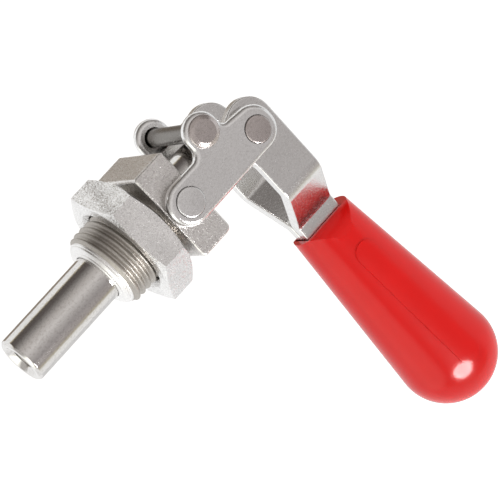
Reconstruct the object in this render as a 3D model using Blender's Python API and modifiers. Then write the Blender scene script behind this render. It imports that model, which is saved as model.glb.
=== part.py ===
"""Straight-line toggle clamp: a block with a threaded barrel, a sliding plunger, two links and a
hand lever with a moulded grip.

Frame: the origin is on the plunger's axis, on the shoulder of the block that a panel is clamped to.
+X runs from the plunger's tip back to the linkage, +Z is up, and the left side is -Y.
The clamp is modelled at rest: plunger forward and locked, lever hanging down.
"""

import math

import bmesh
import bpy
from mathutils import Matrix, Vector

MM = 0.001
LEFT, RIGHT = -1, 1
SIDE_NAMES = {LEFT: "left", RIGHT: "right"}

# Clearance between neighbouring pieces
GAP = 0.3 * MM

# Plunger
PLUNGER_DIAMETER = 9.525 * MM
PLUNGER_REACH = 34.4 * MM
TIP_CHAMFER = 0.8 * MM
TIP_CHAMFER_RUN = 1.1 * MM
TIP_HOLE_DIAMETER = 5.9 * MM
TIP_HOLE_DEPTH = 11.0 * MM
TIP_SINK = 0.55 * MM
DRILL_POINT_ANGLE = math.radians(59)
PLUNGER_TRAVEL = 16.0 * MM
TAIL_LENGTH = 4.0 * MM
TAIL_ROUNDING = 0.9 * MM

# Body: block and barrel
BLOCK_LENGTH = 7.3 * MM
CHEEK_THICKNESS = 4.7 * MM
BLOCK_HEIGHT = 18.8 * MM
BLOCK_EDGE = 0.6 * MM
BARREL_LENGTH = 13.9 * MM
THREAD_DIAMETER = 15.875 * MM
THREAD_PITCH = 1.411 * MM
THREAD_DEPTH = 0.85 * MM
CREST_SHARE = 0.2
RELIEF_LENGTH = 1.5 * MM
NOSE_STEP = 0.1 * MM
NOSE_LENGTH = 1.0 * MM
NOSE_CHAMFER = 0.85 * MM

# Jam nut
NUT_WALL = 3.16 * MM
NUT_THICKNESS = 6.3 * MM
NUT_STANDOFF = 1.3 * MM
NUT_TURN = math.radians(-9.0)
NUT_FACE_INSET = 0.3 * MM
NUT_FRONT_CHAMFER_ANGLE = math.radians(16)
NUT_BACK_CHAMFER_ANGLE = math.radians(27)
NUT_SINK = 0.8 * MM

# Linkage points, in the XZ plane
PIVOT_FROM_BACK = 3.2 * MM
ARM_STANDOFF = 3.7 * MM
OVER_CENTRE = 0.1 * MM
STOP_PIN_OFFSET = 0.3 * MM
STOP_PIN_CLEARANCE = 0.45 * MM

# Links
LINK_THICKNESS = 2.3 * MM
LINK_BODY_LOBE = 4.25 * MM
LINK_HANDLE_LOBE = 4.0 * MM
LINK_HANDLE_TOP = 4.65 * MM
LINK_STOP_LOBE = 3.6 * MM
LINK_TOP_SLOPE = math.radians(6.5)
LINK_NECK_FILLET = 1.8 * MM
LINK_VALLEY_FILLET = 1.2 * MM
LINK_EDGE = 0.7 * MM

# Rivets and pins
BODY_RIVET_DIAMETER = 5.4 * MM
BODY_RIVET_TAIL_DIAMETER = 3.8 * MM
RIVET_HOLE_FLOOR = 1.2 * MM
HANDLE_RIVET_DIAMETER = 5.0 * MM
RIVET_PROUD = 0.35 * MM
RIVET_CHAMFER = 0.25 * MM
STOP_PIN_DIAMETER = 3.4 * MM
STOP_HEAD_DIAMETER = 5.9 * MM
STOP_HEAD_FLAT = 3.4 * MM
STOP_HEAD_HEIGHT = 0.75 * MM
STOP_HEAD_RIM = 0.2 * MM
STOP_HEAD_STEPS = 3
CROSS_PIN_DIAMETER = 3.2 * MM
BUSH_DIAMETER = 6.0 * MM

# Handle plates
PLATE_THICKNESS = 2.3 * MM
EAR_RADIUS = 4.6 * MM
EAR_RIGHT_EDGE = 5.5 * MM
EAR_TOP = 5.7 * MM
EAR_SLOPE = math.radians(22)
NECK_FROM_PIVOT = 4.2 * MM
NECK_FILLET = 1.2 * MM
ARM_EYE_RADIUS = 3.2 * MM
ARM_FILLET = 3.0 * MM
HEEL_LENGTH = 5.6 * MM
HEEL_CORNER = 0.8 * MM
HEEL_ROUNDING = 2.2 * MM
SHANK_WIDTH = 9.0 * MM
SHANK_RIGHT_EDGE = 5.3 * MM
SHANK_IN_GRIP = 24.6 * MM
SHANK_SHOWN = 2.2 * MM
SHANK_END_ROUNDING = 3.0 * MM
PLATE_EDGE = 0.25 * MM
BEND_ANGLE = math.radians(44)
UPPER_BEND_RADIUS = 2.9 * MM
LOWER_BEND_RADIUS = 1.8 * MM

# Grip
GRIP_TOP = 23.5 * MM
GRIP_LENGTH = 44.7 * MM
GRIP_OFFSET = 0.45 * MM
GRIP_LEAN = math.radians(1.2)
GRIP_CORNER_WALL = 0.4 * MM
GRIP_LIP_WALL = 0.6 * MM
GRIP_END_RADIUS = 9.6 * MM
SHOULDER_RADIUS = 5.0 * MM
PAD_FROM_TOP = 6.2 * MM
PAD_FROM_END = 7.8 * MM
PAD_WIDTH = 4.8 * MM
PAD_RAISE = 0.25 * MM

# Facets
ROUND_SEGMENTS = 40
RIVET_SEGMENTS = 24
ARC_STEP = math.radians(15)
BEND_STEPS = 5
SHOULDER_STEPS = 5
REACH = 60.0 * MM

# What follows from the sizes above
PLUNGER_RADIUS = PLUNGER_DIAMETER / 2
BORE_RADIUS = PLUNGER_RADIUS + GAP
BLOCK_SIDE = BORE_RADIUS + CHEEK_THICKNESS
THREAD_ROOT = THREAD_DIAMETER / 2 - THREAD_DEPTH
NUT_ACROSS_FLATS = THREAD_DIAMETER + 2 * NUT_WALL
BODY_PIVOT = Vector((BLOCK_LENGTH - PIVOT_FROM_BACK, 0, 0))
CRANK_LENGTH = PLUNGER_TRAVEL / 2
LINK_SPAN = PIVOT_FROM_BACK + ARM_STANDOFF + ARM_EYE_RADIUS + CRANK_LENGTH
HANDLE_PIVOT = BODY_PIVOT + Vector((LINK_SPAN, 0, -OVER_CENTRE))
CROSS_PIN = Vector((HANDLE_PIVOT.x - math.sqrt(CRANK_LENGTH**2 - OVER_CENTRE**2), 0, 0))
STOP_PIN_UP = PLUNGER_RADIUS + STOP_PIN_CLEARANCE + STOP_PIN_DIAMETER / 2
STOP_PIN = Vector((CROSS_PIN.x + STOP_PIN_OFFSET, 0, STOP_PIN_UP))
LINK_INNER = BLOCK_SIDE + GAP
LINK_OUTER = LINK_INNER + LINK_THICKNESS
EAR_OUTER = LINK_INNER - GAP
EAR_INNER = EAR_OUTER - PLATE_THICKNESS
SHANK_OUTER = GAP / 2 + PLATE_THICKNESS
SHANK_LEFT_EDGE = SHANK_RIGHT_EDGE - SHANK_WIDTH
SHANK_MIDDLE = (SHANK_LEFT_EDGE + SHANK_RIGHT_EDGE) / 2
SHANK_LENGTH = GRIP_TOP + SHANK_IN_GRIP
SLOT_HALF_WIDTH = SHANK_WIDTH / 2 + GAP
SLOT_HALF_DEPTH = SHANK_OUTER + GAP
GRIP_TOP_RADIUS = math.hypot(SLOT_HALF_WIDTH + GRIP_OFFSET, SLOT_HALF_DEPTH) + GRIP_CORNER_WALL
GRIP_BALL = GRIP_LENGTH - GRIP_END_RADIUS
GRIP_TAPER = math.asin((GRIP_END_RADIUS - GRIP_TOP_RADIUS) / GRIP_BALL)


def clear_scene():
    for old in list(bpy.data.objects):
        bpy.data.objects.remove(old, do_unlink=True)


def new_collection(name):
    made = bpy.data.collections.new(name)
    bpy.context.scene.collection.children.link(made)
    return made


def new_material(name, colour, roughness, metallic):
    made = bpy.data.materials.new(name)
    made.use_nodes = True
    shader = made.node_tree.nodes["Principled BSDF"]
    shader.inputs["Base Color"].default_value = (*colour, 1.0)
    shader.inputs["Roughness"].default_value = roughness
    shader.inputs["Metallic"].default_value = metallic
    return made


def new_object(name, mesh, into, place=Vector(), turn=(0, 0, 0)):
    """An object at a world position, in the parts or the cutters collection."""
    made = bpy.data.objects.new(name, mesh)
    made.location = place
    made.rotation_euler = turn
    into.objects.link(made)
    if into == CUTTERS:
        made.hide_render = True
        made.display_type = "WIRE"
    return made


def attach(child, parent):
    """Parent to an unrotated empty and stay in the same place."""
    child.parent = parent
    child.location -= parent.matrix_world.translation


def new_axis(name, place, parent=None):
    axis = bpy.data.objects.new(name, None)
    axis.empty_display_size = 4 * MM
    axis.location = place
    PARTS.objects.link(axis)
    bpy.context.view_layer.update()
    if parent:
        attach(axis, parent)
        bpy.context.view_layer.update()
    return axis


def boolean(target, tool, operation):
    step = target.modifiers.new(f"{operation.lower()} {tool.name}", "BOOLEAN")
    step.operation = operation
    step.object = tool
    step.solver = "EXACT"


def bevel(target, width, segments, angle=math.radians(40)):
    step = target.modifiers.new("bevel", "BEVEL")
    step.width = width
    step.segments = segments
    step.limit_method = "ANGLE"
    step.angle_limit = angle


def smooth(target, angle=math.radians(30)):
    target.data.shade_smooth()
    target.data.set_sharp_from_angle(angle=angle)


ALONG_X = (0, math.radians(90), 0)
ALONG_Y = (math.radians(-90), 0, 0)
UPRIGHT = (0, 0, 0)
SIDE_VIEW = (math.radians(90), 0, 0)
END_VIEW = (math.radians(90), 0, math.radians(90))


def across(side):
    """The turn that points a revolve's top to the left (-Y) or the right (+Y)."""
    return (math.radians(-90) * side, 0, 0)


def turned(name, profile, into, place=Vector(), turn=UPRIGHT, segments=ROUND_SEGMENTS, closed=False):
    """A revolve about local Z of (height, radius) points that run from the top down the outer side."""
    mesh = bpy.data.meshes.new(name)
    points = [(radius, 0, height) for height, radius in profile]
    edges = [(i, i + 1) for i in range(len(points) - 1)]
    if closed:
        edges.append((len(points) - 1, 0))
    mesh.from_pydata(points, edges, [])
    made = new_object(name, mesh, into, place, turn)
    screw = made.modifiers.new("revolve", "SCREW")
    screw.steps = screw.render_steps = segments
    screw.use_merge_vertices = True
    screw.merge_threshold = 0.001 * MM
    return made


def rounded_outline(corners):
    """A closed outline from (x, y, radius) corners, each rounded by an arc."""
    points = []
    for i, (x, y, radius) in enumerate(corners):
        corner = Vector((x, y))
        before = (Vector(corners[i - 1][:2]) - corner).normalized()
        after = (Vector(corners[(i + 1) % len(corners)][:2]) - corner).normalized()
        half_angle = before.angle(after) / 2
        if radius == 0:
            points.append(corner)
            continue
        centre = corner + (before + after).normalized() * radius / math.sin(half_angle)
        start = corner + before * radius / math.tan(half_angle) - centre
        sweep = start.angle_signed(corner + after * radius / math.tan(half_angle) - centre)
        steps = max(2, round(abs(sweep) / ARC_STEP))
        for k in range(steps + 1):
            points.append(centre + Matrix.Rotation(-sweep * k / steps, 2) @ start)
    return points


def circle_points(x, y, radius, segments=RIVET_SEGMENTS, start=0.0):
    turns = [start + 2 * math.pi * k / segments for k in range(segments)]
    return [Vector((x + radius * math.cos(t), y + radius * math.sin(t))) for t in turns]


def extruded(name, outline, holes, thickness, into, place=Vector(), turn=SIDE_VIEW):
    """A flat outline with holes, extruded by its thickness about its own plane."""
    curve = bpy.data.curves.new(name, "CURVE")
    curve.dimensions = "2D"
    curve.fill_mode = "BOTH"
    curve.extrude = thickness / 2
    for loop in [outline, *holes]:
        spline = curve.splines.new("POLY")
        spline.points.add(len(loop) - 1)
        for point, spot in zip(spline.points, loop):
            point.co = (spot.x, spot.y, 0, 1)
        spline.use_cyclic_u = True
    guide = bpy.data.objects.new(name + "_outline", curve)
    into.objects.link(guide)
    bpy.context.view_layer.update()
    evaluated = guide.evaluated_get(bpy.context.evaluated_depsgraph_get())
    mesh = bpy.data.meshes.new_from_object(evaluated)
    bpy.data.objects.remove(guide, do_unlink=True)
    mesh.name = name
    shape = bmesh.new()
    shape.from_mesh(mesh)
    bmesh.ops.remove_doubles(shape, verts=shape.verts, dist=0.001 * MM)
    bmesh.ops.recalc_face_normals(shape, faces=shape.faces)
    shape.to_mesh(mesh)
    shape.free()
    return new_object(name, mesh, into, place, turn)


def box(name, low, high, into, place=Vector(), turn=UPRIGHT):
    """A block between two corners given from its own origin."""
    mesh = bpy.data.meshes.new(name)
    shape = bmesh.new()
    bmesh.ops.create_cube(shape, size=1)
    low, high = Vector(low), Vector(high)
    bmesh.ops.scale(shape, verts=shape.verts, vec=high - low)
    bmesh.ops.translate(shape, verts=shape.verts, vec=(high + low) / 2)
    shape.to_mesh(mesh)
    shape.free()
    return new_object(name, mesh, into, place, turn)


def thread_profile():
    """Crest and root points along the barrel, from its nose back to the relief, as (x, radius)."""
    outer = THREAD_DIAMETER / 2
    start = -BARREL_LENGTH + NOSE_LENGTH + THREAD_DEPTH
    count = int((-RELIEF_LENGTH - start) / THREAD_PITCH)
    points = [(start - THREAD_DEPTH, THREAD_ROOT)]
    for k in range(count):
        crest = start + k * THREAD_PITCH
        points.append((crest, outer))
        points.append((crest + CREST_SHARE * THREAD_PITCH, outer))
        points.append((crest + (1 + CREST_SHARE) / 2 * THREAD_PITCH, THREAD_ROOT))
    return points


def make_body(steel):
    """Block and threaded barrel in one piece, bored through, with blind holes for the link rivets."""
    low = (0, -BLOCK_SIDE, -BLOCK_HEIGHT / 2)
    high = (BLOCK_LENGTH, BLOCK_SIDE, BLOCK_HEIGHT / 2)
    body = box("body", low, high, PARTS)
    bevel(body, BLOCK_EDGE, 2)
    nose = THREAD_ROOT - NOSE_STEP
    profile = [
        (BLOCK_LENGTH / 2, 0),
        (BLOCK_LENGTH / 2, THREAD_ROOT),
        *reversed(thread_profile()),
        (-BARREL_LENGTH + NOSE_LENGTH, nose),
        (-BARREL_LENGTH + NOSE_CHAMFER, nose),
        (-BARREL_LENGTH, nose - NOSE_CHAMFER),
        (-BARREL_LENGTH, 0),
    ]
    boolean(body, turned("barrel", profile, CUTTERS, turn=ALONG_X), "UNION")
    bore = [(REACH, 0), (REACH, BORE_RADIUS), (-REACH, BORE_RADIUS), (-REACH, 0)]
    boolean(body, turned("bore", bore, CUTTERS, turn=ALONG_X), "DIFFERENCE")
    hole = BODY_RIVET_TAIL_DIAMETER / 2 + GAP
    floor = BORE_RADIUS + RIVET_HOLE_FLOOR
    blind = [(REACH, 0), (REACH, hole), (floor, hole), (floor, 0)]
    for side in (LEFT, RIGHT):
        name = f"rivet_hole_{SIDE_NAMES[side]}"
        cutter = turned(name, blind, CUTTERS, BODY_PIVOT, across(side), RIVET_SEGMENTS)
        boolean(body, cutter, "DIFFERENCE")
    smooth(body)
    body.data.materials.append(steel)
    return body


def make_jam_nut(steel):
    """Hexagon nut, chamfered on both faces, with a countersunk bore that clears the thread."""
    corner = NUT_ACROSS_FLATS / 2 / math.cos(math.radians(30))
    half = NUT_THICKNESS / 2
    middle = Vector((-NUT_STANDOFF - half, 0, 0))
    hexagon = circle_points(0, 0, corner, 6, NUT_TURN)
    nut = extruded("jam_nut", hexagon, [], NUT_THICKNESS, PARTS, middle, ALONG_X)
    face = NUT_ACROSS_FLATS / 2 - NUT_FACE_INSET
    wide = corner + GAP
    back = half - (wide - face) * math.tan(NUT_BACK_CHAMFER_ANGLE)
    front = (wide - face) * math.tan(NUT_FRONT_CHAMFER_ANGLE) - half
    blank = [(half, 0), (half, face), (back, wide), (front, wide), (-half, face), (-half, 0)]
    boolean(nut, turned("nut_blank", blank, CUTTERS, middle, ALONG_X, 2 * ROUND_SEGMENTS), "INTERSECT")
    bore = THREAD_DIAMETER / 2 + GAP
    hole = [
        (REACH, 0),
        (REACH, bore + NUT_SINK),
        (half, bore + NUT_SINK),
        (half - NUT_SINK, bore),
        (NUT_SINK - half, bore),
        (-half, bore + NUT_SINK),
        (-REACH, bore + NUT_SINK),
        (-REACH, 0),
    ]
    boolean(nut, turned("nut_bore", hole, CUTTERS, middle, ALONG_X), "DIFFERENCE")
    smooth(nut, math.radians(20))
    nut.data.materials.append(steel)
    return nut


def make_plunger(steel):
    """Round rod with a chamfered tip, a countersunk hole in it and a cross hole in its tail."""
    tip = -PLUNGER_REACH
    tail = CROSS_PIN.x + TAIL_LENGTH
    drill = TIP_HOLE_DIAMETER / 2
    hole_end = tip + TIP_HOLE_DEPTH
    profile = [
        (tail, 0),
        (tail, PLUNGER_RADIUS - TAIL_ROUNDING),
        (tail - TAIL_ROUNDING, PLUNGER_RADIUS),
        (tip + TIP_CHAMFER_RUN, PLUNGER_RADIUS),
        (tip, PLUNGER_RADIUS - TIP_CHAMFER),
        (tip, drill + TIP_SINK),
        (tip + TIP_SINK, drill),
        (hole_end, drill),
        (hole_end + drill / math.tan(DRILL_POINT_ANGLE), 0),
    ]
    plunger = turned("plunger", profile, PARTS, turn=ALONG_X)
    hole = CROSS_PIN_DIAMETER / 2 + GAP
    cross = [(REACH, 0), (REACH, hole), (-REACH, hole), (-REACH, 0)]
    cutter = turned("cross_hole", cross, CUTTERS, CROSS_PIN, ALONG_Y, RIVET_SEGMENTS)
    boolean(plunger, cutter, "DIFFERENCE")
    smooth(plunger)
    plunger.data.materials.append(steel)
    return plunger


def link_outline():
    """Three lobes, from the body pivot: a straight lower edge, a neck and a valley beside the stop lobe."""
    handle = HANDLE_PIVOT - BODY_PIVOT
    stop = STOP_PIN - BODY_PIVOT
    right = handle.x + LINK_HANDLE_LOBE
    valley_x = stop.x + LINK_STOP_LOBE
    top_right = handle.z + LINK_HANDLE_TOP - (right - handle.x) * math.tan(LINK_TOP_SLOPE)
    valley_z = handle.z + LINK_HANDLE_TOP + (handle.x - valley_x) * math.tan(LINK_TOP_SLOPE)
    return rounded_outline([
        (-LINK_BODY_LOBE, -LINK_BODY_LOBE, LINK_BODY_LOBE),
        (right, handle.z - LINK_HANDLE_LOBE, LINK_HANDLE_LOBE),
        (right, top_right, LINK_HANDLE_LOBE),
        (valley_x, valley_z, LINK_VALLEY_FILLET),
        (valley_x, stop.z + LINK_STOP_LOBE, LINK_STOP_LOBE),
        (stop.x - LINK_STOP_LOBE, stop.z + LINK_STOP_LOBE, LINK_STOP_LOBE),
        (stop.x - LINK_STOP_LOBE, LINK_BODY_LOBE, LINK_NECK_FILLET),
        (-LINK_BODY_LOBE, LINK_BODY_LOBE, LINK_BODY_LOBE),
    ])


def make_link(side, steel):
    """Stamped link plate with rolled edges and three pin holes."""
    holes = {
        "body": (BODY_PIVOT, BODY_RIVET_DIAMETER),
        "handle": (HANDLE_PIVOT, HANDLE_RIVET_DIAMETER),
        "stop": (STOP_PIN, STOP_PIN_DIAMETER),
    }
    place = BODY_PIVOT + Vector((0, side * (LINK_INNER + LINK_THICKNESS / 2), 0))
    name = f"link_{SIDE_NAMES[side]}"
    link = extruded(name, link_outline(), [], LINK_THICKNESS, PARTS, place)
    bevel(link, LINK_EDGE, 2)
    for word, (spot, diameter) in holes.items():
        radius = diameter / 2 + GAP
        profile = [(REACH, 0), (REACH, radius), (0, radius), (0, 0)]
        cutter = turned(f"{name}_{word}_hole", profile, CUTTERS, spot, across(side), RIVET_SEGMENTS)
        boolean(link, cutter, "DIFFERENCE")
    smooth(link)
    link.data.materials.append(steel)
    return link


def make_body_rivet(side, steel):
    """Shoulder rivet: the link turns on its shoulder, and its tail sits in the block."""
    shoulder = BODY_RIVET_DIAMETER / 2
    tail = BODY_RIVET_TAIL_DIAMETER / 2
    face = LINK_OUTER + RIVET_PROUD
    seat = BLOCK_SIDE + GAP
    end = BORE_RADIUS + RIVET_HOLE_FLOOR + GAP
    profile = [
        (face, 0),
        (face, shoulder - RIVET_CHAMFER),
        (face - RIVET_CHAMFER, shoulder),
        (seat, shoulder),
        (seat, tail),
        (end, tail),
        (end, 0),
    ]
    name = f"body_rivet_{SIDE_NAMES[side]}"
    rivet = turned(name, profile, PARTS, BODY_PIVOT, across(side), RIVET_SEGMENTS)
    smooth(rivet)
    rivet.data.materials.append(steel)
    return rivet


def make_handle_rivet(side, steel):
    """Rivet through link and ear, flush with the ear's inner face."""
    radius = HANDLE_RIVET_DIAMETER / 2
    face = LINK_OUTER + RIVET_PROUD
    profile = [
        (face, 0),
        (face, radius - RIVET_CHAMFER),
        (face - RIVET_CHAMFER, radius),
        (EAR_INNER, radius),
        (EAR_INNER, 0),
    ]
    name = f"handle_rivet_{SIDE_NAMES[side]}"
    rivet = turned(name, profile, PARTS, HANDLE_PIVOT, across(side), RIVET_SEGMENTS)
    smooth(rivet)
    rivet.data.materials.append(steel)
    return rivet


def make_stop_pin(steel):
    """Pin through both links with a head at each end, rounded from its flat out to its rim."""
    shank = STOP_PIN_DIAMETER / 2
    head = STOP_HEAD_DIAMETER / 2
    flat = STOP_HEAD_FLAT / 2
    under = LINK_OUTER + GAP
    top = under + STOP_HEAD_HEIGHT
    rim = under + STOP_HEAD_RIM
    turns = [math.radians(90) * k / STOP_HEAD_STEPS for k in range(STOP_HEAD_STEPS + 1)]
    curve = [(rim + (top - rim) * math.cos(t), flat + (head - flat) * math.sin(t)) for t in turns]
    half = [(top, 0), *curve, (under, head), (under, shank)]
    profile = half + [(-height, radius) for height, radius in reversed(half)]
    pin = turned("stop_pin", profile, PARTS, STOP_PIN, ALONG_Y, RIVET_SEGMENTS)
    smooth(pin)
    pin.data.materials.append(steel)
    return pin


def make_plunger_pin(steel):
    """Cross pin in the plunger's tail, ending just short of the crank arms."""
    radius = CROSS_PIN_DIAMETER / 2
    end = EAR_INNER - GAP
    profile = [(end, 0), (end, radius), (-end, radius), (-end, 0)]
    pin = turned("plunger_pin", profile, PARTS, CROSS_PIN, ALONG_Y, RIVET_SEGMENTS)
    smooth(pin)
    pin.data.materials.append(steel)
    return pin


def make_pin_bush(side, steel):
    """Spacer on the cross pin, between the plunger's side and the crank arm."""
    outer = BUSH_DIAMETER / 2
    inner = CROSS_PIN_DIAMETER / 2 + GAP
    far = EAR_INNER - GAP
    near = PLUNGER_RADIUS + GAP
    profile = [(far, inner), (far, outer), (near, outer), (near, inner)]
    name = f"pin_bush_{SIDE_NAMES[side]}"
    bush = turned(name, profile, PARTS, CROSS_PIN, across(side), RIVET_SEGMENTS, closed=True)
    smooth(bush)
    bush.data.materials.append(steel)
    return bush


def make_ear_pin(side, steel):
    """Riveted end of the cross pin, flush in the crank arm."""
    radius = CROSS_PIN_DIAMETER / 2
    profile = [(EAR_OUTER, 0), (EAR_OUTER, radius), (EAR_INNER, radius), (EAR_INNER, 0)]
    name = f"ear_pin_{SIDE_NAMES[side]}"
    pin = turned(name, profile, PARTS, CROSS_PIN, across(side), RIVET_SEGMENTS)
    smooth(pin)
    pin.data.materials.append(steel)
    return pin


def handle_outline():
    """Side view from the handle pivot: ear, crank arm with a stop heel, and the shank down to the grip."""
    crank = CROSS_PIN - HANDLE_PIVOT
    stop = STOP_PIN - HANDLE_PIVOT
    heel_z = stop.z - STOP_PIN_DIAMETER / 2 - GAP
    arm_end = crank.x - ARM_EYE_RADIUS
    arm_low = crank.z - ARM_EYE_RADIUS
    ear_corner = EAR_TOP + EAR_RADIUS * (math.tan((math.radians(90) + EAR_SLOPE) / 2) - 1)
    neck_z = ear_corner - (EAR_RIGHT_EDGE + NECK_FROM_PIVOT) * math.tan(EAR_SLOPE)
    return rounded_outline([
        (SHANK_RIGHT_EDGE, -SHANK_LENGTH, SHANK_END_ROUNDING),
        (SHANK_RIGHT_EDGE, -GRIP_TOP, 0),
        (EAR_RIGHT_EDGE, ear_corner, EAR_RADIUS),
        (-NECK_FROM_PIVOT, neck_z, NECK_FILLET),
        (arm_end + HEEL_LENGTH, heel_z, HEEL_CORNER),
        (arm_end, heel_z, HEEL_ROUNDING),
        (arm_end, arm_low, ARM_EYE_RADIUS),
        (SHANK_LEFT_EDGE, arm_low, ARM_FILLET),
        (SHANK_LEFT_EDGE, -SHANK_LENGTH, SHANK_END_ROUNDING),
    ])


def bent_section():
    """Middle line of a plate in end view, as (distance from the middle plane, height)."""
    ear = (EAR_OUTER + EAR_INNER) / 2
    shank = SHANK_OUTER - PLATE_THICKNESS / 2
    radii = UPPER_BEND_RADIUS + LOWER_BEND_RADIUS
    slant = (ear - shank - radii * (1 - math.cos(BEND_ANGLE))) / math.sin(BEND_ANGLE)
    bend_end = -GRIP_TOP + SHANK_SHOWN
    bend_start = bend_end + radii * math.sin(BEND_ANGLE) + slant * math.cos(BEND_ANGLE)
    turns = [BEND_ANGLE * k / BEND_STEPS for k in range(BEND_STEPS + 1)]
    upper = [
        (ear - UPPER_BEND_RADIUS * (1 - math.cos(t)), bend_start - UPPER_BEND_RADIUS * math.sin(t))
        for t in turns
    ]
    lower = [
        (shank + LOWER_BEND_RADIUS * (1 - math.cos(t)), bend_end + LOWER_BEND_RADIUS * math.sin(t))
        for t in reversed(turns)
    ]
    return [(ear, EAR_TOP + REACH), *upper, *lower, (shank, -SHANK_LENGTH - REACH)]


def make_handle_plate(side, steel):
    """A strip bent to the S-shaped section, cut to the side outline, with its two holes."""
    name = f"handle_plate_{SIDE_NAMES[side]}"
    mesh = bpy.data.meshes.new(name)
    shape = bmesh.new()
    rows = bent_section()
    line = [shape.verts.new((-REACH / 2, side * y, z)) for y, z in rows]
    edges = [shape.edges.new(pair) for pair in zip(line, line[1:])]
    grown = bmesh.ops.extrude_edge_only(shape, edges=edges)["geom"]
    moved = [v for v in grown if isinstance(v, bmesh.types.BMVert)]
    bmesh.ops.translate(shape, verts=moved, vec=(REACH, 0, 0))
    shape.to_mesh(mesh)
    shape.free()
    plate = new_object(name, mesh, PARTS, HANDLE_PIVOT)
    thick = plate.modifiers.new("thickness", "SOLIDIFY")
    thick.thickness = PLATE_THICKNESS
    thick.offset = 0
    thick.use_even_offset = True
    crank = CROSS_PIN - HANDLE_PIVOT
    holes = [
        circle_points(0, 0, HANDLE_RIVET_DIAMETER / 2 + GAP),
        circle_points(crank.x, crank.z, CROSS_PIN_DIAMETER / 2 + GAP),
    ]
    blank = f"blank_{SIDE_NAMES[side]}"
    boolean(plate, extruded(blank, handle_outline(), holes, REACH, CUTTERS, HANDLE_PIVOT), "INTERSECT")
    bevel(plate, PLATE_EDGE, 1)
    smooth(plate)
    plate.data.materials.append(steel)
    return plate


def grip_profile(raise_by=0.0):
    """Cone that runs into a ball end, as (height, radius) from just above the mouth down."""
    radius = GRIP_END_RADIUS + raise_by
    mouth = GRIP_TOP_RADIUS + raise_by
    spare = GRIP_LIP_WALL
    points = [(spare, 0), (spare, mouth - spare * math.tan(GRIP_TAPER))]
    sweep = math.radians(90) + GRIP_TAPER
    steps = round(sweep / ARC_STEP) * 2
    for k in range(steps + 1):
        turn = GRIP_TAPER - sweep * k / steps
        points.append((radius * math.sin(turn) - GRIP_BALL, radius * math.cos(turn)))
    points[-1] = (-GRIP_BALL - radius, 0)
    return points


def shoulder_arc():
    """End view of the mouth's right side, as (y, z): an arc from the lip down to where it meets the cone."""
    lip = SLOT_HALF_DEPTH + GRIP_LIP_WALL
    along = Vector((math.sin(GRIP_TAPER), -math.cos(GRIP_TAPER)))
    inward = Vector((-math.cos(GRIP_TAPER), -math.sin(GRIP_TAPER)))
    depth = (GRIP_TOP_RADIUS - lip) * math.cos(GRIP_TAPER)
    run = math.sqrt(2 * SHOULDER_RADIUS * depth - depth**2)
    foot = Vector((lip, 0)) + along * run - inward * depth
    sweep = math.asin(run / SHOULDER_RADIUS)
    points = []
    for k in range(SHOULDER_STEPS + 1):
        turn = sweep * (1 - k / SHOULDER_STEPS)
        points.append(foot - (along * math.sin(turn) - inward * (1 - math.cos(turn))) * SHOULDER_RADIUS)
    return points


def make_grip(plastic):
    """Moulded grip: turned teardrop, rounded shoulders at the mouth, a slot for the plates, oval pads."""
    slot_top = HANDLE_PIVOT + Vector((SHANK_MIDDLE, 0, -GRIP_TOP))
    mouth = slot_top + Vector((GRIP_OFFSET, 0, 0))
    grip = turned("grip", grip_profile(), PARTS, mouth, (0, -GRIP_LEAN, 0))
    half = PAD_WIDTH / 2
    top = -PAD_FROM_TOP
    bottom = PAD_FROM_END - GRIP_LENGTH
    stadium = rounded_outline([
        (-half, bottom, half),
        (half, bottom, half),
        (half, top, half),
        (-half, top, half),
    ])
    pad = turned("grip_pad", grip_profile(PAD_RAISE), CUTTERS, mouth, (0, -GRIP_LEAN, 0))
    leaning = (SIDE_VIEW[0], -GRIP_LEAN, 0)
    boolean(pad, extruded("pad_outline", stadium, [], REACH, CUTTERS, mouth, leaning), "INTERSECT")
    boolean(grip, pad, "UNION")
    right = shoulder_arc()
    shelf = [Vector((REACH / 2, right[-1].y)), Vector((REACH / 2, -2 * REACH))]
    arch = right + shelf + [Vector((-p.x, p.y)) for p in reversed(right + shelf)]
    boolean(grip, extruded("grip_shoulders", arch, [], REACH, CUTTERS, mouth, END_VIEW), "INTERSECT")
    low = (-SLOT_HALF_WIDTH, -SLOT_HALF_DEPTH, -SHANK_IN_GRIP - GAP)
    high = (SLOT_HALF_WIDTH, SLOT_HALF_DEPTH, REACH)
    boolean(grip, box("grip_slot", low, high, CUTTERS, slot_top), "DIFFERENCE")
    smooth(grip)
    grip.data.materials.append(plastic)
    return grip


def build():
    bright = new_material("zinc_plated_steel", (0.62, 0.60, 0.58), 0.35, 1.0)
    cast = new_material("plated_casting", (0.60, 0.58, 0.56), 0.5, 1.0)
    ground = new_material("ground_steel", (0.72, 0.71, 0.70), 0.18, 1.0)
    red = new_material("red_plastic", (0.68, 0.02, 0.02), 0.28, 0.0)

    make_body(cast)
    nut_axis = new_axis("nut_axis", Vector((-NUT_STANDOFF - NUT_THICKNESS / 2, 0, 0)))
    attach(make_jam_nut(cast), nut_axis)

    plunger_axis = new_axis("plunger_axis", Vector())
    attach(make_plunger(ground), plunger_axis)
    attach(make_plunger_pin(bright), plunger_axis)

    link_axis = new_axis("link_axis", BODY_PIVOT)
    handle_axis = new_axis("handle_axis", HANDLE_PIVOT, link_axis)
    attach(make_stop_pin(bright), link_axis)
    attach(make_grip(red), handle_axis)
    for side in (LEFT, RIGHT):
        make_body_rivet(side, bright)
        attach(make_link(side, bright), link_axis)
        attach(make_handle_rivet(side, bright), handle_axis)
        attach(make_handle_plate(side, bright), handle_axis)
        attach(make_ear_pin(side, bright), handle_axis)
        attach(make_pin_bush(side, bright), plunger_axis)


clear_scene()
PARTS = new_collection("toggle_clamp")
CUTTERS = new_collection("cutters")
build()
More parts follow.
